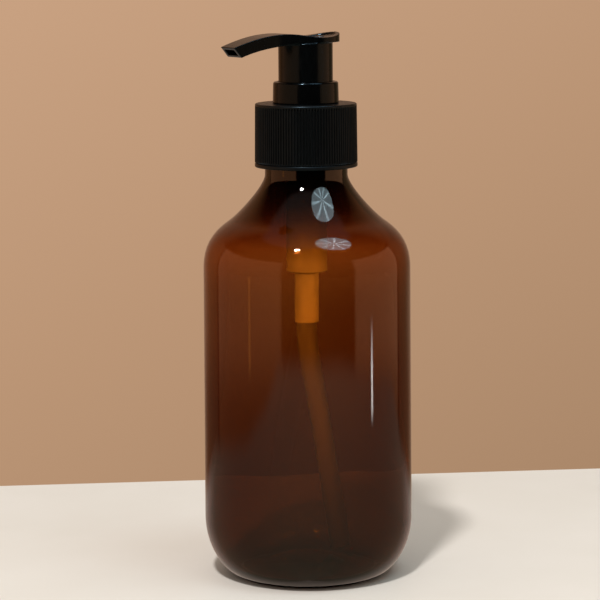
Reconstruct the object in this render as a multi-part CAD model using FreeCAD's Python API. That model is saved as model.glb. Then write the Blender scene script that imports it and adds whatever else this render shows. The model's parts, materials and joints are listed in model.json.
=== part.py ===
"""Soap pump dispenser: a 300 ml bottle with a 28 mm neck and a left-right lock lotion pump.

Millimetres. +Z is up, the origin is on the bottle's axis at the plane it stands on, and the spout
points along -Y.
The pump is open and its head is up. Turning the head clockwise, seen from above, locks it up.
"""

import FreeCAD, Part
import math
import os

V = FreeCAD.Vector

# ---- driving dimensions --------------------------------------------------------------------------
# bottle
body_r, heel_r = 32.6, 33.0
wall, heel_wall, shoulder_wall, neck_wall = 0.85, 1.45, 1.1, 1.7
ring_out_r, ring_in_r = 22.0, 21.0
heel_top_z = 18.5
shoulder_low_z = 97.8
shoulder_top_z = 127.4
neck_low_r = 13.0
neck_step_z = 131.0
bore_low_z = 130.0
finish_r = 12.55
bore_r = 10.9
neck_top_z = 145.9
push_up = 4.2
base_wall = 2.0

# 28-410 thread
pitch = 4.233
thread_turns = 1.5
bottle_thread_r = 13.75
bottle_thread_z = 137.2

# closure
cap_low_z, cap_top_z = 129.9, 149.7
cap_low_r, cap_top_r = 16.12, 15.9
cap_wall_r = 14.05
cap_hole_r = 9.9
cap_roof = 1.4
cap_thread_r = 12.95
cap_band = 1.4
rib_count = 110
rib_valley_r = 15.5
rib_top_gap = 0.75

# housing
gasket_t = 1.2
flange_r, flange_t = 12.5, 1.1
cup_out_r, cup_in_r = 10.65, 9.7
cup_floor_z = 136.3
chamber_out_r, chamber_r = 6.4, 5.4
chamber_end_z = 96.9
chamber_floor_z = 99.2
tail_r = 3.8
tail_end_z = 80.6
tube_r, tube_bore_r = 3.2, 2.5
tube_stop_z = 95.4
inlet_r = 1.75
valve_seat_z = 97.6
valve_seat_r = 2.8
snap_z = 141.0
vent_z = 132.6

# moving parts
stroke = 11.0
pressed_gap = 0.3
piston_float = 1.0
ball_r = 2.3
ball_lift = 1.2
running_gap = 0.05

# lock collar on top of the closure
collar_top_z = 156.5
collar_top_r, collar_low_r = 10.2, 10.35
collar_bore_r = 8.75
sleeve_r = 9.65
web_t = 1.2
seal_t = 1.2
guide_r = 4.8
guide_top_z = 145.5
post_in_r, post_out_r = 4.9, 6.9
post_top_z = 149.8
stop_h = 2.0

# stem
stem_r, stem_bore_r = 3.2, 1.9
stem_top_z = 164.5
foot_r, foot_t = 4.2, 1.6
seat_r, seat_bore_r = 2.3, 1.3
seat_top_z = 142.0
seat_flange_r, seat_flange_t = 4.9, 1.1
piston_h = 4.2

# head
skirt_r, skirt_in_r = 8.5, 7.3
skirt_low_z = cup_floor_z + seal_t + web_t + stroke + pressed_gap
skirt_roof_z = 165.3
socket_r = 4.6
socket_low_z = guide_top_z + stroke + 0.5
lug_in_r, lug_h, lug_half_deg = 5.6, 2.0, 15.0
lock_turn_deg = 90.0
pad_r, pad_y = 8.75, 2.2
spout_y = -27.6
spout_tip_z = 167.7
tip_drop, tip_back = 3.1, 2.6
tip_half, root_half = 4.3, 5.2
channel_half = 3.1
dish_depth = 0.4

# spring, the cage it stands on, and dip tube
wire_r, coil_r = 0.425, 4.3
coil_turns = 9.0
spring_low_z = chamber_floor_z + 1.2
cage_r, cage_bore_r = 3.6, 2.75
cage_roof, cage_slot = 1.0, 1.5
tube_bend_r = 60.0
tube_lean_deg = 9.7
tube_heading_deg = 85.0
tube_low_z = 7.5

# ---- helpers -------------------------------------------------------------------------------------


def save(name, shape):
    """Writes one node, after checking that every solid in it is closed and valid."""
    assert shape.Solids and all(s.isValid() and s.isClosed() for s in shape.Solids), name
    shape.exportStep("parts/%s.step" % name)
    print("%-16s solids %d  volume %9.2f mm3" % (name, len(shape.Solids), shape.Volume))


def line(a, b):
    return Part.LineSegment(a, b).toShape()


def curve(*poles):
    """A Bezier edge."""
    bezier = Part.BezierCurve()
    bezier.setPoles(list(poles))
    return bezier.toShape()


def backwards(edge):
    """The same Bezier edge in the opposite direction."""
    return curve(*reversed(edge.Curve.getPoles()))


def rz(r, z):
    """A point of a turned outline."""
    return V(r, 0, z)


def yz(y, z):
    """A point of the head's side outline."""
    return V(0, y, z)


def path(*items):
    """Edges through items in turn. A line joins a point to the item before, and an edge is kept as it is."""
    edges, last = [], None
    for item in items:
        if isinstance(item, FreeCAD.Vector):
            if last is not None and item.distanceToPoint(last) > 1e-7:
                edges.append(line(last, item))
            last = item
        else:
            start = item.valueAt(item.FirstParameter)
            if last is not None and start.distanceToPoint(last) > 1e-7:
                edges.append(line(last, start))
            edges.append(item)
            last = item.valueAt(item.LastParameter)
    return edges


def face(*items):
    """A flat face inside the closed outline through items."""
    first = items[0] if isinstance(items[0], FreeCAD.Vector) else items[0].valueAt(items[0].FirstParameter)
    return Part.Face(Part.Wire(path(*items, first)))


def turned(*items):
    """A solid of revolution about Z."""
    return face(*items).revolve(V(0, 0, 0), V(0, 0, 1), 360)


def rod(r, z0, z1):
    return Part.makeCylinder(r, z1 - z0, V(0, 0, z0))


def ring(r_out, r_in, z0, z1):
    return rod(r_out, z0, z1).cut(rod(r_in, z0 - 1, z1 + 1))


def sector(r_out, r_in, z0, z1, middle_deg, half_deg):
    """A piece of a ring, centred on an angle from +X."""
    wedge = Part.makeCylinder(r_out, z1 - z0, V(0, 0, z0), V(0, 0, 1), 2 * half_deg)
    wedge.rotate(V(0, 0, 0), V(0, 0, 1), middle_deg - half_deg)
    return wedge.cut(rod(r_in, z0 - 1, z1 + 1))


def helix_sweep(radius, rise_per_turn, height, section):
    """Sweeps a closed wire, placed at angle 0, along a right-handed helix from z = 0."""
    spine = Part.Wire(Part.makeHelix(rise_per_turn, height, radius).Edges)
    return Part.Wire(spine).makePipeShell([section], True, True)


def thread(root_r, crest_r, root_half, crest_half, z_start):
    """A helical ridge of the 28-410 thread, from root_r to crest_r."""
    corners = [
        rz(root_r, -root_half), rz(crest_r, -crest_half), rz(crest_r, crest_half), rz(root_r, root_half)
    ]
    section = Part.Wire(path(*corners, corners[0]))
    ridge = helix_sweep((root_r + crest_r) / 2, pitch, pitch * thread_turns, section)
    ridge.translate(V(0, 0, z_start))
    return ridge


# ---- bottle --------------------------------------------------------------------------------------


def shoulder(at_side, at_middle, at_neck):
    """The shoulder's two curves, from the cylinder up to the neck, moved inwards by these three walls."""
    slope = V(0.819, 0, -0.574)
    middle = rz(24.84, 112.6) + V(-0.574, 0, -0.819) * at_middle
    side, neck = body_r - at_side, neck_low_r - at_neck
    low = curve(
        rz(side, shoulder_low_z), rz(side, 105.05 - at_side / 2), middle + slope * 6.04, middle
    )
    high = curve(middle, middle - slope * 4.64, rz(neck, 124.2), rz(neck, shoulder_top_z))
    return low, high


def heel(inset, lift):
    """The curve from the standing ring up to the cylinder."""
    side = heel_r - inset
    return curve(rz(ring_out_r, lift), rz(ring_out_r + 5.0, lift), rz(side, 8.3), rz(side, heel_top_z))


def base_dome(lift):
    """The pushed-up base, from the centre out to the standing ring."""
    return curve(rz(0, push_up + lift), rz(12.0, push_up + lift), rz(16.0, lift), rz(ring_in_r, lift))


def bottle():
    """One blown shell, thinnest at the top of its cylinder and thicker towards the base and the neck."""
    low, high = shoulder(0.0, 0.0, 0.0)
    low_in, high_in = shoulder(wall, shoulder_wall, neck_wall)
    shell = turned(
        base_dome(0.0), heel(0.0, 0.0), low, high, rz(neck_low_r, neck_step_z),
        rz(finish_r, neck_step_z + 0.45), rz(finish_r, neck_top_z - 0.4), rz(finish_r - 0.4, neck_top_z),
        rz(bore_r + 0.4, neck_top_z), rz(bore_r, neck_top_z - 0.4), rz(bore_r, bore_low_z),
        backwards(high_in), backwards(low_in), backwards(heel(heel_wall, base_wall)),
        backwards(base_dome(base_wall)),
    )
    ridge = thread(finish_r - 0.2, bottle_thread_r, 1.2, 0.55, bottle_thread_z)
    return shell.fuse(ridge).removeSplitter()


# ---- closure -------------------------------------------------------------------------------------


def closure():
    band_top = cap_low_z + cap_band
    rib_top = cap_top_z - rib_top_gap
    shell = turned(
        rz(cap_hole_r, cap_top_z - cap_roof), rz(cap_wall_r - 0.6, cap_top_z - cap_roof),
        rz(cap_wall_r, cap_top_z - cap_roof - 0.6), rz(cap_wall_r, cap_low_z + 0.5),
        rz(cap_wall_r + 0.4, cap_low_z), rz(cap_low_r - 0.3, cap_low_z), rz(cap_low_r, cap_low_z + 0.3),
        rz(cap_top_r, cap_top_z - 0.5), rz(cap_top_r - 0.5, cap_top_z), rz(cap_hole_r, cap_top_z),
    )
    pitch_deg = 360.0 / rib_count
    crest_r = cap_low_r + 0.5
    outline = []
    for i in range(rib_count):
        for r, share in ((crest_r, -0.34), (rib_valley_r, -0.12), (rib_valley_r, 0.12), (crest_r, 0.34)):
            a = math.radians((i + share) * pitch_deg)
            outline.append(V(r * math.cos(a), r * math.sin(a), band_top))
    outline.append(outline[0])
    ribbed = Part.Face(Part.makePolygon(outline)).extrude(V(0, 0, rib_top - band_top))
    grooves = ring(crest_r + 1, rib_valley_r - 0.1, band_top, rib_top).cut(ribbed)
    groove = ring(crest_r + 1, rib_valley_r + 0.1, band_top - 0.25, band_top + 0.1)
    shell = shell.cut(grooves).cut(groove)
    # the cap's ridge bears on the underside of the bottle's
    ridge = thread(cap_wall_r + 0.2, cap_thread_r, 1.05, 0.45, bottle_thread_z - 1.55)
    return shell.fuse(ridge).removeSplitter()


# ---- pump body -----------------------------------------------------------------------------------


def gasket():
    return ring(flange_r, cup_out_r + 0.1, neck_top_z, neck_top_z + gasket_t)


def housing():
    flange_z = neck_top_z + gasket_t
    top = flange_z + flange_t
    outer_and_bore = turned(
        rz(cup_in_r, top), rz(flange_r, top), rz(flange_r, flange_z), rz(cup_out_r, flange_z),
        rz(cup_out_r, cup_floor_z - 0.6), rz(cup_out_r - 0.9, cup_floor_z - 1.5),
        rz(chamber_out_r + 0.6, cup_floor_z - 1.5), rz(chamber_out_r, cup_floor_z - 2.4),
        rz(chamber_out_r, chamber_end_z + 0.3), rz(chamber_out_r - 0.3, chamber_end_z),
        rz(tail_r, chamber_end_z), rz(tail_r, tail_end_z), rz(tube_r, tail_end_z), rz(tube_r, tube_stop_z),
        rz(inlet_r, tube_stop_z), rz(inlet_r, valve_seat_z), rz(valve_seat_r, chamber_floor_z),
        rz(chamber_r, chamber_floor_z),
        rz(chamber_r, cup_floor_z), rz(cup_in_r, cup_floor_z), rz(cup_in_r, snap_z - 0.4),
        rz(cup_in_r + 0.3, snap_z), rz(cup_in_r + 0.3, snap_z + 0.4), rz(cup_in_r, snap_z + 0.8),
    )
    vent = Part.makeCylinder(0.5, 3.0, V(0, chamber_r - 0.5, vent_z), V(0, 1, 0))
    return outer_and_bore.cut(vent)


def ball_centre_z():
    """The ball's height where it rests, a running gap clear of its conical seat."""
    rise, run = chamber_floor_z - valve_seat_z, valve_seat_r - inlet_r
    reach = (ball_r + running_gap) / math.cos(math.atan2(rise, run))
    return valve_seat_z + reach - rise / run * inlet_r


def ball():
    return Part.makeSphere(ball_r, V(0, 0, ball_centre_z()))


def valve_cage():
    """Keeps the ball over its seat and carries the spring's foot."""
    ball_top = ball_centre_z() + ball_r + ball_lift + running_gap
    foot = ring(chamber_r, cage_bore_r, chamber_floor_z, spring_low_z)
    cage = ring(cage_r, cage_bore_r, chamber_floor_z, ball_top + cage_roof)
    roof = rod(cage_bore_r + 0.25, ball_top, ball_top + cage_roof).cut(rod(1.1, ball_top - 1, ball_top + 2))
    whole = foot.fuse([cage, roof])
    slot_low_z = spring_low_z + 0.4
    for angle in (0, 60, 120):
        slot = Part.makeBox(
            2 * cage_r + 1, cage_slot, ball_top - slot_low_z, V(-cage_r - 0.5, -cage_slot / 2, slot_low_z)
        )
        slot.rotate(V(0, 0, 0), V(0, 0, 1), angle)
        whole = whole.cut(slot)
    return whole.removeSplitter()


def stem_seal():
    z0, z1 = cup_floor_z, cup_floor_z + seal_t
    bore = stem_r + running_gap
    return turned(
        rz(cup_in_r - 0.1, z0), rz(cup_in_r - 0.1, z1), rz(bore + 0.5, z1), rz(bore + 0.25, z1 - 0.3),
        rz(bore, z1 - 0.45), rz(bore, z0 + 0.3), rz(bore + 0.3, z0),
    )


def lock_collar():
    web_z = cup_floor_z + seal_t
    low_z = cap_top_z + 0.1
    bore = stem_r + 2 * running_gap
    shell = turned(
        rz(bore, web_z), rz(sleeve_r, web_z), rz(sleeve_r, snap_z - 0.2), rz(sleeve_r + 0.25, snap_z + 0.1),
        rz(sleeve_r + 0.25, snap_z + 0.3), rz(sleeve_r, snap_z + 0.6), rz(sleeve_r, low_z),
        rz(collar_low_r, low_z),
        curve(
            rz(collar_top_r, collar_top_z - 0.9), rz(collar_top_r, collar_top_z - 0.3),
            rz(collar_top_r - 0.3, collar_top_z), rz(collar_top_r - 0.9, collar_top_z)
        ),
        rz(collar_bore_r + 0.25, collar_top_z), rz(collar_bore_r, collar_top_z - 0.25),
        rz(collar_bore_r, web_z + web_t), rz(guide_r, web_z + web_t), rz(guide_r, guide_top_z),
        rz(bore, guide_top_z),
    )
    # Two posts hold the head up when its lugs are turned over them, between stops that stand higher.
    open_deg, gap_deg, stop_deg = -90.0, 4.0, 5.0
    clear = lug_half_deg + gap_deg
    post_middle = open_deg - clear - (180 - 2 * clear) / 2
    for side in (0, 180):
        shell = shell.fuse(
            sector(post_out_r, guide_r - 0.5, web_z + 0.5, guide_top_z, post_middle + side, 90 - clear)
        )
        shell = shell.fuse(
            sector(post_out_r, post_in_r, guide_top_z - 0.5, post_top_z, post_middle + side, 90 - clear)
        )
        for middle in (open_deg + clear + stop_deg, open_deg - lock_turn_deg - clear - stop_deg):
            shell = shell.fuse(
                sector(post_out_r, post_in_r, post_top_z - 0.5, post_top_z + stop_h, middle + side, stop_deg)
            )
    return shell.removeSplitter()


def dip_tube():
    """A straight length held in the tail, one long bend, and a straight length to near the base."""
    bend = math.radians(tube_lean_deg)
    top, knee = V(0, 0, tube_stop_z), V(0, 0, tail_end_z - 1.5)
    side, drop = tube_bend_r * (1 - math.cos(bend)), tube_bend_r * math.sin(bend)
    half_side, half_drop = tube_bend_r * (1 - math.cos(bend / 2)), tube_bend_r * math.sin(bend / 2)
    end = knee + V(side, 0, -drop)
    run = (end.z - tube_low_z) / math.cos(bend)
    tip = end + V(math.sin(bend), 0, -math.cos(bend)) * run
    bend_arc = Part.Arc(knee, knee + V(half_side, 0, -half_drop), end).toShape()
    spine = Part.Wire([line(top, knee), bend_arc, line(end, tip)])

    def swept(radius):
        return spine.makePipeShell([Part.Wire(Part.makeCircle(radius, top, V(0, 0, 1)))], True, False)

    tube = swept(tube_r).cut(swept(tube_bore_r))
    tube.rotate(V(0, 0, 0), V(0, 0, 1), tube_heading_deg)
    return tube


# ---- spring and plunger --------------------------------------------------------------------------


def foot_z():
    """The underside of the stem's foot."""
    return cup_floor_z - 0.1 - foot_t


def piston_z():
    """The underside of the piston."""
    return foot_z() - piston_float - running_gap - piston_h


def spring():
    z1 = piston_z() - running_gap - seat_flange_t
    height = z1 - spring_low_z
    section = Part.Wire(Part.makeCircle(wire_r, V(coil_r, 0, 0), V(0, 1, 0)))
    coil = helix_sweep(coil_r, (height - wire_r) / coil_turns, height - wire_r, section)
    coil.translate(V(0, 0, spring_low_z + wire_r / 2))
    return coil.common(rod(coil_r + 1, spring_low_z, z1))


def piston_seat():
    """The lower stem, which the spring pushes up. Its side ports open when the piston floats off them."""
    top = piston_z() - running_gap
    low = top - seat_flange_t
    body = turned(
        rz(0, low - 1.2), rz(2.6, low - 1.2), rz(3.3, low), rz(seat_flange_r, low), rz(seat_flange_r, top),
        rz(seat_r, top), rz(seat_r, seat_top_z), rz(seat_bore_r, seat_top_z), rz(seat_bore_r, top),
        rz(0, top),
    )
    for angle in (0, 90):
        port = Part.makeCylinder(0.45, 6, V(-3, 0, top + 0.5), V(1, 0, 0))
        port.rotate(V(0, 0, 0), V(0, 0, 1), angle)
        body = body.cut(port)
    return body


def piston():
    """A hub that floats on the lower stem, joined by a web to a ring with a lip at each end."""
    z0 = piston_z()
    z1 = z0 + piston_h
    hub = seat_r + running_gap
    lip = chamber_r - running_gap
    return turned(
        rz(hub, z0), rz(hub + 0.75, z0), rz(hub + 0.9, z0 + 1.5), rz(lip - 0.9, z0 + 1.5),
        rz(lip - 0.45, z0 + 0.25), rz(lip, z0 + 0.25), rz(lip, z0 + 0.6), rz(lip - 0.15, z0 + 1.2),
        rz(lip - 0.15, z1 - 1.2), rz(lip, z1 - 0.6), rz(lip, z1 - 0.25), rz(lip - 0.45, z1 - 0.25),
        rz(lip - 0.9, z1 - 1.5), rz(hub + 0.9, z1 - 1.5), rz(hub + 0.75, z1), rz(hub, z1),
    )


def stem():
    low = foot_z()
    return turned(
        rz(seat_r, low), rz(foot_r, low), rz(foot_r, low + foot_t - 0.3), rz(foot_r - 0.3, low + foot_t),
        rz(stem_r, low + foot_t), rz(stem_r, stem_top_z - 0.4), rz(stem_r - 0.4, stem_top_z),
        rz(stem_bore_r, stem_top_z), rz(stem_bore_r, seat_top_z), rz(seat_r, seat_top_z),
    )


# ---- head ----------------------------------------------------------------------------------------


def head_top(drop):
    """The head's upper side: a curve from the spout's tip over the arch, and one along the finger pad."""
    crest = yz(-6.5, 171.3 - drop)
    arch = curve(yz(spout_y, spout_tip_z - drop), yz(-21.0, 170.05 - drop), yz(-14.5, 171.9 - drop), crest)
    pad = curve(crest, yz(-2.5, 171.0 - drop), yz(2.0, 168.9 - drop), yz(11.4, 171.8 - drop))
    return arch, pad


def head_under():
    """The curve under the head, from the spout's tip to below the finger pad."""
    return curve(
        yz(spout_y + tip_back, spout_tip_z - tip_drop), yz(-17.5, 167.6), yz(-8.0, 168.3), yz(2.0, 168.6)
    )


def across(shape_face, half):
    """Extrudes a side outline to both sides of the spout's plane."""
    solid = shape_face.extrude(V(2 * half, 0, 0))
    solid.translate(V(-half, 0, 0))
    return solid


def upright(points_face, z0, z1):
    """Extrudes a plan outline drawn at z = 0."""
    solid = points_face.extrude(V(0, 0, z1 - z0))
    solid.translate(V(0, 0, z0))
    return solid


def head_plan(inset):
    """The head seen from above: a narrow spout that flares into a round finger pad."""
    r = pad_r - inset
    join = math.radians(25)
    tip, neck = tip_half - inset, root_half - inset
    left = V(-r * math.cos(join), pad_y - r * math.sin(join), 0)
    right = V(-left.x, left.y, 0)
    back = Part.Arc(right, V(0, pad_y + r, 0), left).toShape()
    lead = V(math.sin(join), -math.cos(join), 0) * 4.0
    end_l, end_r = V(-neck, -12.5, 0), V(neck, -12.5, 0)
    flare_l = curve(left, left + lead, end_l + V(-0.17, 3.0, 0), end_l)
    flare_r = curve(end_r, end_r + V(0.17, 3.0, 0), right + V(-lead.x, lead.y, 0), right)
    front = spout_y - 2.0 + inset
    return face(back, flare_l, V(-tip, front, 0), V(tip, front, 0), end_r, flare_r)


def pad_dish():
    """The sunk teardrop of the finger pad, with a raised pointer left standing in it."""
    r, y, point = 5.0, pad_y + 2.9, -1.2
    lean = math.asin(r / (y - point))
    left = V(-r * math.cos(lean), y - r * math.sin(lean), 0)
    right = V(-left.x, left.y, 0)
    drop = face(Part.Arc(right, V(0, y + r, 0), left).toShape(), V(0, point, 0))
    pointer = face(V(0, 2.2, 0), V(1.9, 5.6, 0), V(-1.9, 5.6, 0))
    sunk = upright(drop, 168.0, 174.0).cut(upright(pointer, 167.0, 175.0))
    arch, pad = head_top(dish_depth)
    below = across(face(arch, pad, yz(14.0, 172.6 - dish_depth), yz(14.0, 160.0), yz(spout_y, 160.0)), 12.0)
    return sunk.cut(below)


def channel():
    """The passage from the stem to the spout's mouth."""
    line_dir = V(0, -tip_back, tip_drop)
    low_end = yz(spout_y + tip_back, spout_tip_z - tip_drop) + line_dir * 0.22
    high_end = yz(spout_y + tip_back, spout_tip_z - tip_drop) + line_dir * 0.75
    beyond = V(0, -3.0, -1.1)
    bottom = curve(yz(-8.5, 168.9), yz(-15.0, 169.0), yz(-20.5, 167.7), low_end)
    roof = curve(high_end, yz(-21.0, 169.2), yz(-13.5, 170.85), yz(-7.5, 170.3))
    side = face(
        yz(2.4, 167.2), yz(-1.0, 167.2), bottom, low_end + beyond, high_end + beyond, roof,
        yz(0.0, 169.0), yz(2.4, 169.0),
    )
    return across(side, channel_half)


def actuator_head():
    arch, pad = head_top(0.0)
    side = face(yz(11.4, 168.7), yz(11.4, 171.8), backwards(pad), backwards(arch), head_under())
    top = across(side, 12.0).common(upright(head_plan(0.0), 160.0, 175.0))
    under = head_under()
    above = across(face(under, yz(14.0, 168.8), yz(14.0, 175.0), yz(spout_y + tip_back, 175.0)), 12.0)
    outside = above.cut(upright(head_plan(0.4), 150.0, 176.0))
    barrel = rod(skirt_r, skirt_low_z, 169.6).cut(outside)
    hollow = ring(skirt_in_r, socket_r, skirt_low_z - 1, skirt_roof_z).fuse(
        rod(skirt_in_r, skirt_low_z - 1, socket_low_z)
    )
    body = top.fuse(barrel).cut(hollow)
    body = body.cut(rod(stem_r, socket_low_z - 1, stem_top_z + 0.1)).cut(rod(2.2, stem_top_z, 168.0))
    body = body.cut(channel()).cut(pad_dish())
    for side_deg in (-90.0, 90.0):
        lug = sector(skirt_in_r + 0.3, lug_in_r, skirt_low_z, skirt_low_z + lug_h, side_deg, lug_half_deg)
        body = body.fuse(lug)
    return body.removeSplitter()


# ---- write the nodes -----------------------------------------------------------------------------

os.makedirs("parts", exist_ok=True)
for make in (
    bottle, closure, gasket, housing, ball, valve_cage, stem_seal, lock_collar, dip_tube,
    spring, piston_seat, piston, stem, actuator_head,
):
    save(make.__name__, make())
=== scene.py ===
"""Looks of the soap pump dispenser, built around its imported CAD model. Metres, +Z up, spout along -Y."""

import json
import math

import bmesh
import bpy
import numpy as np
from mathutils import Matrix, Vector


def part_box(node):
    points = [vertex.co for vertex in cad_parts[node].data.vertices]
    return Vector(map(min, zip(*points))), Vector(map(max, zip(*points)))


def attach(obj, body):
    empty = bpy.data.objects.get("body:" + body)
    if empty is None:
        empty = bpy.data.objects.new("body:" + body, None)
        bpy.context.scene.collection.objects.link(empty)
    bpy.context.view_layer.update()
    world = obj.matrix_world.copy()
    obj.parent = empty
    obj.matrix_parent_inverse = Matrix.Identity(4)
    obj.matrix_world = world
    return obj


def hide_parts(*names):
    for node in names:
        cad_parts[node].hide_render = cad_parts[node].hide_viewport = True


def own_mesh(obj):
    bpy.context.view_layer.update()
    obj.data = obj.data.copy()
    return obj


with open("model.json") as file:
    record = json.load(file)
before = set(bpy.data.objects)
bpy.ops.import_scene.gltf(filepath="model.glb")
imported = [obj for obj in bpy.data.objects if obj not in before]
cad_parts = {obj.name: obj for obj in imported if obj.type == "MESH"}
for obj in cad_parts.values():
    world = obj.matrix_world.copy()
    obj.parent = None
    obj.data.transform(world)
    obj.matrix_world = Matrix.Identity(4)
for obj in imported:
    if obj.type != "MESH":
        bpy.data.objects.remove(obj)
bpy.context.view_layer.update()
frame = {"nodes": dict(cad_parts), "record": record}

MM = 0.001
TAU = 2 * math.pi

# ---- sizes in millimetres, as in the CAD model ---------------------------------------------------
body_r, heel_r = 32.6, 33.0
wall, heel_wall, shoulder_wall, neck_wall, base_wall = 0.85, 1.45, 1.1, 1.7, 2.0
ring_out_r, ring_in_r = 22.0, 21.0
heel_top_z = 18.5
shoulder_low_z, shoulder_top_z = 97.8, 127.4
shoulder_middle, shoulder_slope = (24.84, 112.6), (0.819, -0.574)
# how far the curves' handles reach, or where they are
shoulder_reach_out, shoulder_reach_in = 6.04, 4.64
shoulder_side_handle_z, shoulder_neck_handle_z = 105.05, 124.2
heel_handle_r, heel_handle_z = 27.0, 8.3
dome_handle_r, dome_ring_handle_r = 12.0, 16.0
neck_low_r, neck_step_z = 13.0, 131.0
finish_r, bore_r, bore_low_z = 12.55, 10.9, 130.0
push_up = 4.2
gate_mark_r, gate_mark_depth = 1.5, 0.5
wall_unevenness = 0.05
# a thread's root and crest are half of its ridge's height, at the wall and at the tip
thread_pitch, thread_turns, thread_z = 4.233, 1.5, 137.2
bottle_thread_h, bottle_thread_root, bottle_thread_crest = 1.2, 1.2, 0.45

cap_low_r, cap_top_r = 16.12, 15.9
cap_wall_r, cap_hole_r, cap_roof = 14.05, 9.9, 1.4
cap_thread_h, cap_thread_root, cap_thread_crest = 1.1, 1.05, 0.45
cap_thread_drop = 1.55
cap_band, rib_top_gap = 1.4, 0.75
rib_count, rib_depth, band_groove_depth = 110, 0.52, 0.4

tube_r, tube_bore_r = 3.2, 2.5
tail_end_z = 80.6
tube_bend_r, tube_lean_deg, tube_heading_deg = 60.0, 9.7, 85.0
wire_r, coil_r, coil_turns = 0.425, 4.3, 9.0

moulded_voxel = 0.14
edge_bevel = 0.06

# ---- the photograph's view: distances in metres --------------------------------------------------
view_azimuth_deg = 60.0
view_pitch_deg, view_roll_deg = 8.56, 0.41
view_distance, view_height, view_aside = 0.75, 0.2004, 0.00225
lens_mm, sensor_mm = 144.0, 36.0

azimuth = math.radians(view_azimuth_deg)
view_right = Vector((math.cos(azimuth), math.sin(azimuth), 0))
view_away = Vector((-math.sin(azimuth), math.cos(azimuth), 0))
up = Vector((0, 0, 1))


def view_frame(right, away, rise):
    """A direction in the photograph's frame: to the right, away from the camera, and up."""
    return view_right * right + view_away * away + up * rise


# ---- meshes --------------------------------------------------------------------------------------


def new_object(name, mesh):
    piece = bpy.data.objects.new(name, mesh)
    bpy.context.scene.collection.objects.link(piece)
    return piece


def skin(name, rings, loop=False):
    """A closed mesh over rings of equally many points, in millimetres. Its ends meet, or get a cap each."""
    rings = np.asarray(rings, float)
    rows, sides = rings.shape[:2]
    points = rings.reshape(-1, 3)
    index = np.arange(rows * sides).reshape(rows, sides)
    after = np.roll(index, -1, axis=1)
    lower = index if loop else index[:-1]
    upper = np.roll(index, -1, axis=0) if loop else index[1:]
    lower_after = after if loop else after[:-1]
    upper_after = np.roll(after, -1, axis=0) if loop else after[1:]
    faces = np.stack([lower, lower_after, upper_after, upper], axis=-1).reshape(-1, 4).tolist()
    if not loop:
        for row, centre in ((0, len(points)), (rows - 1, len(points) + 1)):
            points = np.vstack([points, rings[row].mean(axis=0)])
            faces += [(index[row, i], after[row, i], centre) for i in range(sides)]
    mesh = bpy.data.meshes.new(name)
    mesh.from_pydata((points * MM).tolist(), [], faces)
    shape = bmesh.new()
    shape.from_mesh(mesh)
    bmesh.ops.recalc_face_normals(shape, faces=shape.faces)
    shape.to_mesh(mesh)
    shape.free()
    mesh.shade_smooth()
    mesh.set_sharp_from_angle(angle=math.radians(42))
    piece = new_object(name, mesh)
    piece.modifiers.new("weighted", "WEIGHTED_NORMAL").keep_sharp = True
    return piece


def bezier(a, b, c, d, steps=28):
    """Points along a Bezier curve, both ends included."""
    t = np.linspace(0, 1, steps + 1)[:, None]
    a, b, c, d = (np.array(p, float) for p in (a, b, c, d))
    points = (1 - t) ** 3 * a + 3 * (1 - t) ** 2 * t * b + 3 * (1 - t) * t**2 * c + t**3 * d
    return [tuple(p) for p in points]


def straight(a, b, steps):
    """Points along a line, both ends included."""
    return [tuple(p) for p in np.linspace(a, b, steps + 1)]


def fillet(before, corner, after, radius, steps=4):
    """Points of the arc that rounds a corner."""
    corner = Vector(corner)
    to_a, to_b = (Vector(before) - corner).normalized(), (Vector(after) - corner).normalized()
    half = to_a.angle(to_b) / 2
    reach = radius / math.tan(half)
    centre = corner + (to_a + to_b).normalized() * (radius / math.sin(half))
    start, end = corner + to_a * reach - centre, corner + to_b * reach - centre
    points = []
    for i in range(steps + 1):
        point = start.lerp(end, i / steps).normalized() * radius + centre
        points.append(tuple(point))
    return points


def outline(*items):
    """Joins points (r, z), corners (r, z, fillet radius) and lists of points into one outline."""
    flat = []
    for item in items:
        flat += item if isinstance(item, list) else [item]
    points = []
    for i, item in enumerate(flat):
        if len(item) == 3:
            points += fillet(flat[i - 1][:2], item[:2], flat[(i + 1) % len(flat)][:2], item[2])
        elif not points or math.dist(points[-1], item) > 1e-6:
            points.append(tuple(item))
    return np.array(points)


def lathe(name, points, segments, relief=None, loop=False):
    """Turns an outline (r, z) about Z. relief(r, z, angle) is added to the radius."""
    angle = np.arange(segments) / segments * TAU
    r = np.repeat(points[:, :1], segments, axis=1)
    z = np.repeat(points[:, 1:2], segments, axis=1)
    theta = np.repeat(angle[None, :], len(points), axis=0)
    if relief is not None:
        r = r + relief(r, z, theta)
    return skin(name, np.stack([r * np.cos(theta), r * np.sin(theta), z], axis=-1), loop)


def smoothstep(low, high, x):
    t = np.clip((x - low) / (high - low), 0, 1)
    return t * t * (3 - 2 * t)


def thread_share(z, theta, start_z, root_half, crest_half):
    """How far up a thread's flank a point lies: 0 off the ridge, 1 on its crest. The ends run out."""
    share = np.zeros_like(z)
    for turn in range(math.ceil(thread_turns)):
        along = theta / TAU + turn
        off = np.abs(z - start_z - thread_pitch * along)
        flank = smoothstep(0, 1, (root_half - off) / (root_half - crest_half))
        run_out = smoothstep(0, 0.05, along) * smoothstep(0, 0.05, thread_turns - along)
        share = np.maximum(share, flank * run_out)
    return share


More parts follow.
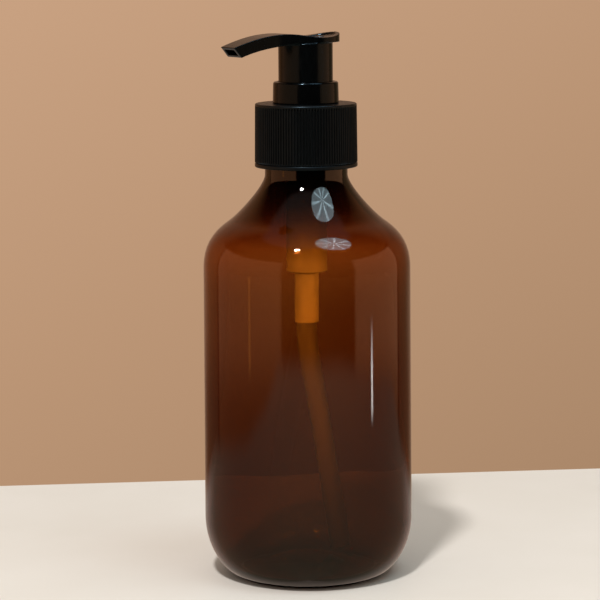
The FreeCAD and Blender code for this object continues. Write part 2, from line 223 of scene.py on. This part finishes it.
def sweep(centres, radius, sides, bore=0.0):
    """Rings of a round bar, or of a tube when it has a bore, along a line of points in millimetres."""
    centres = np.asarray(centres, float)
    along = np.gradient(centres, axis=0)
    along /= np.linalg.norm(along, axis=1)[:, None]
    side = np.cross(along, [0.0, 0.0, 1.0])
    if np.linalg.norm(side, axis=1).min() < 1e-6:
        side = np.cross(along, [math.sin(azimuth), -math.cos(azimuth), 0.0])
    side /= np.linalg.norm(side, axis=1)[:, None]
    across = np.cross(along, side)
    angle = np.arange(sides) / sides * TAU
    cosine, sine = np.cos(angle)[None, :, None], np.sin(angle)[None, :, None]
    spread = cosine * side[:, None, :] + sine * across[:, None, :]
    outer = centres[:, None, :] + radius * spread
    if not bore:
        return outer
    inner = centres[::-1][:, None, :] + bore * spread[::-1]
    return np.concatenate([outer, inner])


def moulded(node, rounds):
    """A copy of a CAD node with an even mesh and softened edges, as a moulded part has."""
    source = new_object(node + "_source", frame["nodes"][node].data.copy())
    even = source.modifiers.new("even", "REMESH")
    even.mode = "VOXEL"
    even.voxel_size = moulded_voxel * MM
    soften = source.modifiers.new("soften", "SMOOTH")
    soften.factor = 0.5
    soften.iterations = rounds
    mesh = bpy.data.meshes.new_from_object(source.evaluated_get(bpy.context.evaluated_depsgraph_get()))
    bpy.data.objects.remove(source)
    mesh.name = node + "_moulded"
    mesh.materials.clear()
    mesh.shade_smooth()
    return new_object(mesh.name, mesh)


# ---- materials -----------------------------------------------------------------------------------


class Nodes:
    """Short ways to add to a node tree."""

    def __init__(self, tree):
        self.tree = tree

    def add(self, kind, **inputs):
        node = self.tree.nodes.new(kind)
        for socket, value in inputs.items():
            node.inputs[socket.replace("_", " ")].default_value = value
        return node

    def link(self, source, target):
        self.tree.links.new(source, target)

    def calc(self, operation, *values):
        """A sum on numbers and other nodes' outputs."""
        node = self.tree.nodes.new("ShaderNodeMath")
        node.operation = operation
        for socket, value in zip(node.inputs, values):
            if isinstance(value, (int, float)):
                socket.default_value = value
            else:
                self.link(value, socket)
        return node.outputs[0]

    def ramp(self, factor, stops):
        """Maps a factor through (position, colour) stops. A colour may be one number, for a grey."""
        node = self.tree.nodes.new("ShaderNodeValToRGB")
        elements = node.color_ramp.elements
        while len(elements) < len(stops):
            elements.new(0.5)
        for element, (position, colour) in zip(elements, stops):
            element.position = position
            element.color = (*colour, 1) if isinstance(colour, tuple) else (colour, colour, colour, 1)
        self.link(factor, node.inputs["Fac"])
        return node.outputs["Color"]

    def map_range(self, value, start, end, low, high, interpolation="LINEAR"):
        """Maps start to low and end to high, and holds both beyond."""
        node = self.tree.nodes.new("ShaderNodeMapRange")
        node.interpolation_type = interpolation
        for socket, number in zip(("From Min", "From Max", "To Min", "To Max"), (start, end, low, high)):
            node.inputs[socket].default_value = number
        self.link(value, node.inputs["Value"])
        return node.outputs["Result"]


class Shader(Nodes):
    """A material with a Principled shader."""

    def __init__(self, name, **values):
        self.material = bpy.data.materials.new(name)
        self.material.use_nodes = True
        super().__init__(self.material.node_tree)
        self.principled = self.tree.nodes["Principled BSDF"]
        self.output = self.tree.nodes["Material Output"]
        for socket, value in values.items():
            self.principled.inputs[socket.replace("_", " ")].default_value = value
        self.coords = self.add("ShaderNodeTexCoord").outputs["Object"]

    def noise(self, scale, detail=3.0, stretch=(1, 1, 1)):
        """Noise from 0 to 1, over the object's own coordinates."""
        mapping = self.add("ShaderNodeMapping", Scale=stretch)
        self.link(self.coords, mapping.inputs["Vector"])
        node = self.add("ShaderNodeTexNoise", Scale=scale, Detail=detail, Roughness=0.55)
        self.link(mapping.outputs["Vector"], node.inputs["Vector"])
        return node.outputs["Fac"]

    def between(self, factor, low, high):
        """Maps the middle of a noise to a number from low to high."""
        return self.map_range(factor, 0.3, 0.7, low, high)

    def shades(self, factor, low, high):
        """Maps the middle of a noise to a colour from low to high."""
        return self.ramp(factor, ((0.35, low), (0.65, high)))

    def bump(self, height, strength, distance):
        """Adds a bump on top of those there already."""
        node = self.add("ShaderNodeBump", Strength=strength, Distance=distance)
        self.link(height, node.inputs["Height"])
        normal = self.principled.inputs["Normal"]
        if normal.is_linked:
            self.link(normal.links[0].from_socket, node.inputs["Normal"])
        self.link(node.outputs["Normal"], normal)

    def put(self, source, socket):
        self.link(source, self.principled.inputs[socket])


def black_plastic(name, roughness, grain, tint):
    """Moulded black polypropylene: satin and faintly mottled, with handling marks and a fine grain."""
    shader = Shader(name, IOR=1.49, Specular_IOR_Level=0.31, Specular_Tint=(0.52, 0.78, 1.0, 1))
    deep = tuple(0.75 * c for c in tint)
    shader.put(shader.shades(shader.noise(420), deep, tint), "Base Color")
    marks = shader.noise(900, detail=5, stretch=(1, 1, 0.25))
    shader.put(shader.between(marks, roughness * 0.82, roughness * 1.25), "Roughness")
    shader.bump(shader.noise(5200, detail=2), 0.35, grain * MM)
    shader.bump(shader.noise(260, detail=1), 0.25, 0.03 * MM)
    return shader.material


def amber_pet():
    """Blown clear amber PET. The colour is in the depth of the wall, and the surface is faintly wavy.

    It is also darker at the neck and towards the base. That is partly a denser wall, where it was stretched
    least, and partly painted shade: the cap's shade inside the neck, and the bottle's own shadow on the
    wall and table behind its lower part. The ramp's stops give the share of light that a face lets
    through, by its height over ramp_height.
    """
    ramp_height = 150 * MM
    # painted shade: the stops at the base and at the neck are darker than the denser wall alone makes them,
    # for the cap's shade and the shadow behind the bottle
    clearness_and_painted_shade = (
        (0.0, 0.44), (0.12, 0.55), (0.33, 0.62), (0.5, 0.725), (0.59, 0.74), (0.62, 0.79), (0.66, 0.93),
        (0.69, 1.0), (0.713, 0.95), (0.74, 0.66), (0.767, 0.36), (0.8, 0.17), (0.86, 0.05),
    )
    shader = Shader("amber_pet", IOR=1.575, Transmission_Weight=1.0)
    height = shader.add("ShaderNodeSeparateXYZ")
    shader.link(shader.coords, height.inputs["Vector"])
    share = shader.map_range(height.outputs["Z"], 0.0, ramp_height, 0.0, 1.0)
    shader.put(shader.ramp(share, clearness_and_painted_shade), "Base Color")
    shader.put(shader.between(shader.noise(700, detail=4), 0.0, 0.012), "Roughness")
    shader.bump(shader.noise(90, detail=2, stretch=(1, 1, 0.35)), 0.08, 0.05 * MM)
    depth = shader.add("ShaderNodeVolumeAbsorption", Color=(0.738, 0.452, 0.029, 1), Density=2400.0)
    shader.link(depth.outputs["Volume"], shader.output.inputs["Volume"])
    return shader.material


def natural_plastic(name, colour, transmission, roughness):
    """Uncoloured polyolefin: milky, lets light through, with a soft sheen and flow marks."""
    shader = Shader(name, IOR=1.5, Transmission_Weight=transmission)
    low = tuple(0.92 * c for c in colour)
    shader.put(shader.shades(shader.noise(300, stretch=(1, 1, 0.3)), low, colour), "Base Color")
    shader.put(shader.between(shader.noise(800), roughness * 0.85, roughness * 1.2), "Roughness")
    shader.bump(shader.noise(2600, detail=2), 0.3, 0.02 * MM)
    return shader.material


def steel(name, roughness, stretch):
    """Drawn or polished stainless steel, with fine marks along it."""
    shader = Shader(name, Metallic=1.0)
    shader.put(shader.shades(shader.noise(500), (0.50, 0.49, 0.47), (0.66, 0.65, 0.63)), "Base Color")
    marks = shader.noise(3000, detail=5, stretch=stretch)
    shader.put(shader.between(marks, roughness * 0.7, roughness * 1.5), "Roughness")
    shader.bump(marks, 0.2, 0.01 * MM)
    return shader.material


def foam():
    """Foamed polyethylene, matt and pitted."""
    shader = Shader("foam_pe", IOR=1.45)
    shader.put(shader.shades(shader.noise(2500), (0.62, 0.62, 0.6), (0.8, 0.8, 0.78)), "Base Color")
    shader.put(shader.between(shader.noise(1200), 0.6, 0.8), "Roughness")
    shader.bump(shader.noise(6000, detail=2), 0.6, 0.05 * MM)
    return shader.material


slots = {
    "amber_pet": amber_pet(),
    "black_closure": black_plastic("black_closure", 0.34, 0.02, (0.0042, 0.0042, 0.0041)),
    "black_collar": black_plastic("black_collar", 0.15, 0.006, (0.0014, 0.0014, 0.0014)),
    "black_head": black_plastic("black_head", 0.2, 0.006, (0.0014, 0.0014, 0.0014)),
    "natural_pp": natural_plastic("natural_pp", (0.90, 0.89, 0.85), 0.45, 0.42),
    "natural_stem": natural_plastic("natural_stem", (0.90, 0.89, 0.86), 0.3, 0.4),
    "clear_pe": natural_plastic("clear_pe", (0.90, 0.90, 0.87), 0.75, 0.35),
    "soft_pe": natural_plastic("soft_pe", (0.88, 0.88, 0.86), 0.2, 0.5),
    "foam_pe": foam(),
    "spring_steel": steel("spring_steel", 0.22, (1, 1, 6)),
    "ball_steel": steel("ball_steel", 0.1, (1, 1, 1)),
}


def dress(piece, body, slot_name, *nodes):
    """Gives a new piece its material and body, and lets it stand for CAD nodes."""
    piece.data.materials.clear()
    piece.data.materials.append(slots[slot_name])
    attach(piece, body)
    if nodes:
        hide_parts(*nodes)
    return piece


# ---- bottle --------------------------------------------------------------------------------------


def shoulder(at_side, at_middle, at_neck):
    """The shoulder's two curves, up to the neck, moved inwards by these three walls."""
    slope = np.array(shoulder_slope)
    middle = np.array(shoulder_middle) + np.array((slope[1], -slope[0])) * at_middle
    side, neck = body_r - at_side, neck_low_r - at_neck
    side_handle, neck_handle = (side, shoulder_side_handle_z - at_side / 2), (neck, shoulder_neck_handle_z)
    low = bezier((side, shoulder_low_z), side_handle, middle + slope * shoulder_reach_out, middle)
    high = bezier(middle, middle - slope * shoulder_reach_in, neck_handle, (neck, shoulder_top_z))
    return low + high


def heel(inset, lift):
    """The curve from the standing ring up to the cylinder."""
    side = heel_r - inset
    return bezier((ring_out_r, lift), (heel_handle_r, lift), (side, heel_handle_z), (side, heel_top_z), 32)


def base_dome(lift):
    """The pushed-up base, from near its centre to the standing ring."""
    middle, handle = (0, push_up + lift), (dome_handle_r, push_up + lift)
    return bezier(middle, handle, (dome_ring_handle_r, lift), (ring_in_r, lift), 30)[1:]


def make_bottle():
    """The bottle, with its thread and the round mark of the mould's gate under its base."""
    neck_top_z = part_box("bottle")[1][2] / MM
    finish = straight((finish_r, neck_step_z + 0.75), (finish_r, neck_top_z - 1.0), 52)
    bore = straight((bore_r, neck_top_z - 1.0), (bore_r, bore_low_z), 12)
    gate_z = push_up - gate_mark_depth
    gate_mark = [(0.5, gate_z), (gate_mark_r - 0.4, gate_z, 0.2), (gate_mark_r, push_up, 0.2)]
    points = outline(
        gate_mark, base_dome(0.0)[2:], heel(0.0, 0.0), shoulder(0.0, 0.0, 0.0),
        straight((neck_low_r, shoulder_top_z + 0.3), (neck_low_r, neck_step_z - 0.3), 4),
        (neck_low_r, neck_step_z, 0.15), (finish_r, neck_step_z + 0.45, 0.15), finish,
        (finish_r, neck_top_z, 0.5), (bore_r, neck_top_z, 0.4), bore,
        shoulder(wall, shoulder_wall, neck_wall)[::-1],
        straight((body_r - wall, shoulder_low_z - 5), (heel_r - heel_wall, heel_top_z + 5), 12),
        heel(heel_wall, base_wall)[::-1], base_dome(base_wall)[::-1],
    )

    def relief(r, z, theta):
        """The thread outside the neck, and the slow unevenness of a blown wall inside the body."""
        on_finish = (r > finish_r - 0.01) & (z > neck_step_z + 0.7)
        share = thread_share(z, theta, thread_z, bottle_thread_root, bottle_thread_crest)
        inside = r < body_r - wall / 2
        uneven = np.sin(3 * theta + z / 19) + 0.6 * np.sin(5 * theta - z / 11 + 1.3)
        on_side = smoothstep(heel_top_z - 3, heel_top_z + 6, z) * (1 - smoothstep(90, shoulder_low_z, z))
        return bottle_thread_h * share * on_finish + wall_unevenness * uneven * on_side * inside

    return dress(lathe("bottle_shell", points, 288, relief), "bottle", "amber_pet", "bottle")


# ---- closure -------------------------------------------------------------------------------------


def make_closure():
    """The screw cap, with its ribs, the groove above its lower band and its thread."""
    (_, _, low_z), (_, _, top_z) = (tuple(c / MM for c in corner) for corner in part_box("closure"))
    band_top, rib_top = low_z + cap_band, top_z - rib_top_gap
    roof_z = top_z - cap_roof

    def outer_r(z):
        return cap_low_r + (cap_top_r - cap_low_r) * (z - low_z) / (top_z - low_z)

    ribbed = [band_top - 0.35, band_top - 0.25, band_top - 0.1, band_top, band_top + 0.12, band_top + 0.3]
    ribbed += list(np.linspace(band_top + 1, rib_top - 1, 8))
    ribbed += [rib_top - 0.3, rib_top - 0.12, rib_top]
    outside = [(outer_r(z), z) for z in ribbed]
    inside = straight((cap_wall_r, roof_z - 1.2), (cap_wall_r, low_z + 1.0), 44)
    points = outline(
        (cap_wall_r + 0.4, low_z, 0.15), (cap_low_r, low_z, 0.3), outside, (cap_top_r, top_z, 0.45),
        (cap_hole_r, top_z, 0.12), (cap_hole_r, roof_z, 0.12), (cap_wall_r, roof_z, 0.6), inside,
    )

    def relief(r, z, theta):
        """Ribs and a groove above the lower band outside, and the thread inside."""
        rib = theta / TAU * rib_count
        valley = 1 - smoothstep(0.1, 0.38, np.abs(rib - np.round(rib)))
        on_ribs = smoothstep(band_top, band_top + 0.3, z) * (1 - smoothstep(rib_top - 0.3, rib_top, z))
        groove = band_groove_depth * np.exp(-((z - band_top + 0.1) / 0.12) ** 2)
        outer = r > cap_top_r - 0.05
        share = thread_share(z, theta, thread_z - cap_thread_drop, cap_thread_root, cap_thread_crest)
        inner = (np.abs(r - cap_wall_r) < 0.01) & (z < roof_z - 1.1)
        return -(outer * np.maximum(rib_depth * valley * on_ribs, groove) + inner * cap_thread_h * share)

    piece = lathe("closure_cap", points, rib_count * 10, relief, loop=True)
    return dress(piece, "closure", "black_closure", "closure")


# ---- pump ----------------------------------------------------------------------------------------


def make_collar():
    return dress(moulded("lock_collar", 4), "pump_body", "black_collar", "lock_collar")


def make_head():
    return dress(moulded("actuator_head", 5), "plunger", "black_head", "actuator_head")


def make_tube():
    """The dip tube: straight in the housing's tail, one long bend, and straight to near the base."""
    low_z, top_z = (corner[2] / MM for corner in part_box("dip_tube"))
    lean, heading = math.radians(tube_lean_deg), math.radians(tube_heading_deg)
    knee_z = tail_end_z - 1.5
    side_and_z = straight((0, top_z), (0, knee_z), 10)
    for turn in np.linspace(0, lean, 12)[1:]:
        side_and_z.append((tube_bend_r * (1 - math.cos(turn)), knee_z - tube_bend_r * math.sin(turn)))
    side, z = side_and_z[-1]
    run = (z - low_z - tube_r * math.sin(lean)) / math.cos(lean)
    side_and_z += straight((side, z), (side + math.sin(lean) * run, z - math.cos(lean) * run), 20)[1:]
    centres = [(s * math.cos(heading), s * math.sin(heading), z) for s, z in side_and_z]
    piece = skin("dip_tube_drawn", sweep(centres, tube_r, 48, tube_bore_r), loop=True)
    return dress(piece, "pump_body", "clear_pe", "dip_tube")


def make_spring():
    """The return spring, with a closed coil at each end. It shortens towards its foot."""
    low_z, top_z = (corner[2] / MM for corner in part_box("spring"))
    turn = np.linspace(0, coil_turns, int(coil_turns * 40) + 1)
    closed = 2 * wire_r
    climb = top_z - low_z - 2 * wire_r - 2 * closed
    turn_stops = (0, 1, coil_turns - 1, coil_turns)
    z = low_z + wire_r + np.interp(turn, turn_stops, (0, closed, closed + climb, 2 * closed + climb))
    centres = np.stack([coil_r * np.cos(turn * TAU), coil_r * np.sin(turn * TAU), z], axis=-1)
    rings = sweep(centres, wire_r, 14)
    rings[..., 2] = np.clip(rings[..., 2], low_z + 0.01, top_z - 0.01)
    piece = dress(skin("return_coil", rings), "pump_body", "spring_steel", "spring")
    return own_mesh(piece)


def finish_cad_nodes():
    """Gives the CAD nodes that stay their materials, and softens the look of their edges."""
    slot_of = {sub["node"]: sub["material_slot"] for sub in frame["record"]["subparts"]}
    for name, node in frame["nodes"].items():
        if node.hide_render:
            continue
        for place in node.material_slots:
            place.material = slots[slot_of[name]]
        bevel = node.modifiers.new("edges", "BEVEL")
        bevel.width = edge_bevel * MM
        bevel.segments = 2
        bevel.limit_method = "ANGLE"
        bevel.angle_limit = math.radians(40)
        node.modifiers.new("weighted", "WEIGHTED_NORMAL").keep_sharp = True


# ---- stage: table, room and lights, in metres ----------------------------------------------------

table_reach, table_back, table_thickness, table_turn_deg = 1.6, 0.1335, 0.02, 5.7
shade_r, shade_sides = 0.0245, 96
lamps_middle = Vector((0, 0, 0.09))
through_amber = (1.0, 0.455, 0.055)


def make_table():
    """A pale table top, whose back edge is behind the dispenser."""
    ahead = table_back + table_reach
    corners = [(-table_reach, -ahead), (table_reach, -ahead), (table_reach, 0), (-table_reach, 0)]
    turn = Matrix.Rotation(math.radians(table_turn_deg), 3, "Z")
    points = []
    for z in (0.0, -table_thickness):
        for right, away in corners:
            spot = turn @ Vector((right, away, 0))
            points.append(tuple(view_frame(spot.x, spot.y + table_back, z)))
    faces = [(0, 1, 2, 3), (7, 6, 5, 4), (0, 4, 5, 1), (1, 5, 6, 2), (2, 6, 7, 3), (3, 7, 4, 0)]
    mesh = bpy.data.meshes.new("table_top")
    mesh.from_pydata(points, [], faces)
    shader = Shader("table_paint", IOR=1.45, Roughness=0.55)
    shader.put(shader.shades(shader.noise(14), (0.77, 0.72, 0.665), (0.80, 0.75, 0.70)), "Base Color")
    shader.bump(shader.noise(900), 0.15, 0.05 * MM)
    mesh.materials.append(shader.material)
    table = new_object("table_top", mesh)
    table.visible_glossy = False


def make_contact_shade():
    """The dark patch under the standing bottle, which only reflections show."""
    turns = [TAU * side / shade_sides for side in range(shade_sides)]
    points = [(shade_r * math.cos(turn), shade_r * math.sin(turn), -0.1 * MM) for turn in turns]
    mesh = bpy.data.meshes.new("contact_shade")
    mesh.from_pydata(points, [], [range(shade_sides)])
    shader = Shader("contact_dark", Base_Color=(0.012, 0.010, 0.008, 1), Roughness=0.9)
    mesh.materials.append(shader.material)
    shade = new_object("contact_shade", mesh)
    shade.visible_camera = shade.visible_diffuse = False
    shade.visible_transmission = shade.visible_shadow = False


class Room(Nodes):
    """The world's tree. It colours each direction by its rise and its turn, which both go from 0 to 1."""

    def __init__(self, tree):
        super().__init__(tree)
        self.direction = self.add("ShaderNodeTexCoord").outputs["Generated"]
        # 0 is straight down, 0.5 level and 1 straight up
        self.rise = self.calc("MULTIPLY_ADD", self.along(up), 0.5, 0.5)
        # 0.5 is towards the photograph's camera, 0.75 to its right, and 0 and 1 are away from it
        angle = self.calc("ARCTAN2", self.along(view_right), self.along(-view_away))
        self.turn = self.calc("ADD", self.calc("DIVIDE", angle, TAU), 0.5)

    def along(self, axis):
        """How far a direction points along an axis, from -1 to 1."""
        node = self.tree.nodes.new("ShaderNodeVectorMath")
        node.operation = "DOT_PRODUCT"
        self.link(self.direction, node.inputs[0])
        node.inputs[1].default_value = axis
        return node.outputs["Value"]

    def fade(self, value, start, end):
        """Goes smoothly from 0 at start to 1 at end, whichever of them is greater."""
        if start > end:
            return self.map_range(value, end, start, 1.0, 0.0, "SMOOTHSTEP")
        return self.map_range(value, start, end, 0.0, 1.0, "SMOOTHSTEP")

    def mix(self, share, a, b):
        """Colour a where share is 0, and b where it is 1."""
        node = self.tree.nodes.new("ShaderNodeMix")
        node.data_type = "RGBA"
        self.link(share, node.inputs["Factor"])
        for socket, colour in ((node.inputs[6], a), (node.inputs[7], b)):
            if isinstance(colour, tuple):
                socket.default_value = (*colour, 1)
            else:
                self.link(colour, socket)
        return node.outputs[2]

    def backdrop(self):
        """The warm wall that the camera sees, which gets lighter upwards and to the left."""
        slant = self.calc("SUBTRACT", self.rise, self.calc("MULTIPLY", self.along(view_right), 0.25))
        return self.ramp(slant, [
            (0.357, (0.40, 0.243, 0.142)), (0.437, (0.492, 0.298, 0.178)), (0.517, (0.578, 0.356, 0.22)),
        ])

    def soft_light(self):
        """What lights the matt surfaces."""
        return self.ramp(self.rise, [
            (0.0, (0.46, 0.40, 0.33)), (0.5, (0.12, 0.105, 0.09)), (1.0, (0.73, 0.665, 0.59)),
        ])

    def panels(self, corner, behind, beside_left, left, right, beside_right):
        """The walls of the room, with a panel on each side of the camera and dark gaps between them."""
        dark = (0.004, 0.004, 0.004)
        return self.ramp(self.turn, [
            (0.02, behind), (corner, beside_left), (0.17, beside_left), (0.175, dark), (0.18, left),
            (0.415, left), (0.425, dark), (0.645, dark), (0.655, right), (0.828, right), (0.833, dark),
            (0.84, beside_right), (1 - corner, beside_right), (0.98, behind),
        ])

    def walls(self):
        """The walls from the floor to the ceiling. They are dimmer low down, and have no panels high up."""
        behind, beside = (0.42, 0.25, 0.16), (0.29, 0.125, 0.05)
        middle = self.panels(
            0.11, behind, beside, (0.60, 0.26, 0.12), (0.70, 0.34, 0.17), (0.15, 0.095, 0.045)
        )
        low_beside = (0.18, 0.085, 0.04)
        low = self.panels(0.09, behind, low_beside, (0.30, 0.12, 0.05), (0.36, 0.17, 0.08), low_beside)
        high = self.ramp(self.turn, [
            (0.02, behind), (0.12, beside), (0.17, 0.004), (0.83, 0.004), (0.88, beside), (0.98, behind),
        ])
        walls = self.mix(self.fade(self.rise, 0.425, 0.405), middle, low)
        walls = self.mix(self.fade(self.rise, 0.69, 0.715), walls, high)
        return self.mix(self.fade(self.rise, 0.92, 0.95), walls, (0.11, 0.10, 0.095))

    def over_table(self, walls):
        """Adds the table below the walls, with its edge at its own height in each direction."""
        near, side = (0.29, 0.27, 0.19), (0.27, 0.215, 0.15)
        back, far = (0.42, 0.33, 0.27), (0.50, 0.39, 0.32)
        half = [(0.05, far), (0.10, back), (0.15, side), (0.25, side), (0.42, near)]
        table = self.ramp(self.turn, half + [(1 - turn, colour) for turn, colour in reversed(half)])
        edge = self.ramp(self.turn, [
            (0.0, 0.386), (0.08, 0.389), (0.15, 0.397), (0.30, 0.400), (0.37, 0.408), (0.41, 0.417),
            (0.60, 0.417), (0.795, 0.412), (0.85, 0.397), (0.92, 0.389), (1.0, 0.386),
        ])
        return self.mix(self.fade(self.calc("SUBTRACT", self.rise, edge), 0.004, -0.004), walls, table)

    def streak(self, room, centre, half, low, high, colour):
        """Adds a narrow upright strip of light, with soft ends."""
        left = self.fade(self.turn, centre - half, centre - half / 3)
        right = self.fade(self.turn, centre + half, centre + half / 3)
        foot, head = self.fade(self.rise, low, low + 0.006), self.fade(self.rise, high, high - 0.014)
        share = self.calc("MULTIPLY", self.calc("MULTIPLY", left, right), self.calc("MULTIPLY", foot, head))
        return self.mix(share, room, colour)

    def reflection(self):
        """What glossy surfaces reflect."""
        room = self.over_table(self.walls())
        room = self.streak(room, 0.7093, 0.0052, 0.403, 0.427, (8.0, 7.8, 7.5))
        return self.streak(room, 0.314, 0.0045, 0.412, 0.47, (1.5, 0.55, 0.15))


def make_room():
    """The world: a warm backdrop to look at, a dim room with soft panels to reflect, and soft light."""
    world = bpy.data.worlds.new("room")
    world.use_nodes = True
    world.cycles.sampling_method = "NONE"
    world.node_tree.nodes.clear()
    room = Room(world.node_tree)
    path = room.add("ShaderNodeLightPath").outputs
    not_through = room.calc("SUBTRACT", 1.0, path["Is Transmission Ray"])
    reflected = room.calc("MULTIPLY", path["Is Glossy Ray"], not_through)
    colour = room.mix(path["Is Diffuse Ray"], room.backdrop(), room.soft_light())
    background = room.add("ShaderNodeBackground")
    room.link(room.mix(reflected, colour, room.reflection()), background.inputs["Color"])
    room.link(background.outputs["Background"], room.add("ShaderNodeOutputWorld").inputs["Surface"])
    bpy.context.scene.world = world


def round_the_middle(turn_deg, rise_deg, distance):
    """A place for a light, turned to the right of the photograph's camera and raised."""
    turn, rise = math.radians(turn_deg), math.radians(rise_deg)
    flat, high = math.cos(rise) * distance, math.sin(rise) * distance
    return lamps_middle + view_frame(math.sin(turn) * flat, -math.cos(turn) * flat, high)


def place_light(name, data, spot, target):
    light = bpy.data.objects.new(name, data)
    light.location = spot
    light.rotation_euler = (spot - target).to_track_quat("Z", "Y").to_euler()
    bpy.context.scene.collection.objects.link(light)
    return light


def disc_light(name, spot, size, power, colour):
    data = bpy.data.lights.new(name, "AREA")
    data.shape, data.size, data.energy, data.color = "DISK", size, power, colour
    return place_light(name, data, spot, lamps_middle)


def add_ribs(light):
    """Gives a round lamp the eight brighter ribs of an umbrella, which fade outwards."""
    light.data.use_nodes = True
    nodes = Nodes(light.data.node_tree)
    calc = nodes.calc
    place = nodes.add("ShaderNodeSeparateXYZ")
    nodes.link(nodes.add("ShaderNodeNewGeometry").outputs["Parametric"], place.inputs["Vector"])
    x, y = (calc("SUBTRACT", place.outputs[axis], 0.5) for axis in ("X", "Y"))
    wave = calc("COSINE", calc("MULTIPLY", calc("ARCTAN2", y, x), 4))
    rib = calc("POWER", calc("ABSOLUTE", wave), 16)
    radius = calc("SQRT", calc("ADD", calc("MULTIPLY", x, x), calc("MULTIPLY", y, y)))
    core = calc("SUBTRACT", 1.0, calc("MULTIPLY", radius, 1.6))
    strength = calc("MULTIPLY_ADD", calc("MULTIPLY", rib, core), 3.4, 0.65)
    nodes.link(strength, nodes.tree.nodes["Emission"].inputs["Strength"])


def group(name, pieces):
    """A collection of pieces by name, for light linking."""
    collection = bpy.data.collections.new(name)
    for piece in pieces:
        collection.objects.link(bpy.data.objects[piece])
    return collection


def make_lights():
    """A small key light high in front, a large round lamp high on the right, and four inner lights.

    What reaches the inner pieces has passed the amber wall, so the inner lights shine through it, in
    its colour, and light nothing else.
    """
    disc_light("key", round_the_middle(-16, 56.5, 1.1), 0.10, 8.8, (1, 0.985, 0.955))
    add_ribs(disc_light("lamp", round_the_middle(57, 64, 1.0), 0.54, 2.2, (0.66, 0.90, 1.0)))

    pump_pieces = ["housing", "valve_cage", "stem", "piston_seat", "piston", "return_coil"]
    pump, tube = group("lit_pump", pump_pieces), group("lit_tube", ["dip_tube_drawn"])
    both = group("lit_inside", pump_pieces + ["dip_tube_drawn"])
    for name, lit, target_z, spread_deg, turn_deg, rise_deg, power in (
        ("pump_left", pump, 0.0803, 4.7, -34, 16, 21.5), ("pump_right", pump, 0.0803, 4.7, 48, 12, 23.0),
        ("tube_left", tube, 0.064, 10.0, -34, 12, 7.5), ("tube_right", tube, 0.064, 10.0, 48, 12, 4.5),
    ):
        data = bpy.data.lights.new(name, "SPOT")
        data.energy, data.color, data.shadow_soft_size = power, through_amber, 0.02
        data.spot_size, data.spot_blend = math.radians(spread_deg), 1.0
        light = place_light(name, data, round_the_middle(turn_deg, rise_deg, 0.6), Vector((0, 0, target_z)))
        light.light_linking.receiver_collection = lit
        light.light_linking.blocker_collection = both


def make_camera():
    """The photograph's view."""
    pitch, roll = math.radians(view_pitch_deg), math.radians(view_roll_deg)
    forward = view_frame(0, math.cos(pitch), -math.sin(pitch))
    level_up = view_frame(0, math.sin(pitch), math.cos(pitch))
    right = view_right * math.cos(roll) - level_up * math.sin(roll)
    head_up = view_right * math.sin(roll) + level_up * math.cos(roll)
    data = bpy.data.cameras.new("photo_view")
    data.lens, data.sensor_width = lens_mm, sensor_mm
    data.clip_start, data.clip_end = 0.01, 20.0
    camera = bpy.data.objects.new("photo_view", data)
    turned = Matrix((right, head_up, -forward)).transposed().to_4x4()
    spot = view_frame(-view_aside, -view_distance, view_height)
    camera.matrix_world = Matrix.Translation(spot) @ turned
    bpy.context.scene.collection.objects.link(camera)
    bpy.context.scene.camera = camera


# ---- make it all ---------------------------------------------------------------------------------

bpy.context.scene.view_settings.view_transform = "Standard"
make_camera()
make_bottle()
make_closure()
make_collar()
make_head()
make_tube()
make_spring()
finish_cad_nodes()
make_table()
make_contact_shade()
make_room()
make_lights()
